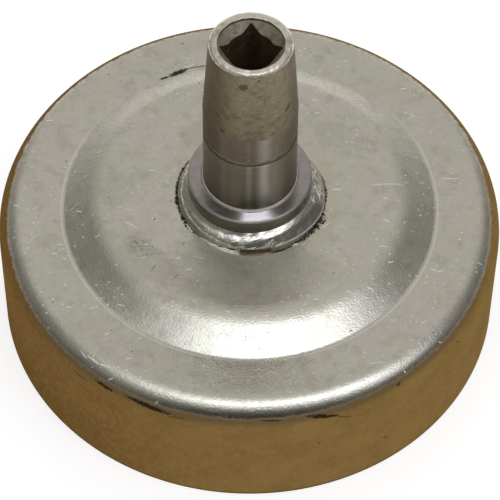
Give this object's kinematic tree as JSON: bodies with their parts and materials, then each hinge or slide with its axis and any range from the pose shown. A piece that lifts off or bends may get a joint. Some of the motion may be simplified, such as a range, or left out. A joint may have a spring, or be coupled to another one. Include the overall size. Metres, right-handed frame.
{
  "type": "clutch drum",
  "caption": "Pressed steel clutch cup with a raised centre panel, welded to a turned hub shaft that has a bearing seat, a retaining ring groove and a square drive socket in its tapered nose.",
  "frame": {"origin": "centre of the cup's open rim, on the plane that the rim stands on", "axes": "+Z along the shaft, from the open rim towards the drive socket; X and Y square to the flats of the socket"},
  "size_m": [0.082, 0.082, 0.0635],
  "materials": {
    "pressed_sheet": "bright plated pressed sheet, lightly scratched, scuffed under the rim",
    "turned_steel": "turned and ground steel, rough on the tapered nose",
    "weld_metal": "shiny weld metal with sooty, rusty edges"
  },
  "bodies": {
    "root": {"drum_cup": "pressed_sheet", "hub_shaft": "turned_steel", "weld_bead": "weld_metal"}
  },
  "joints": []
}
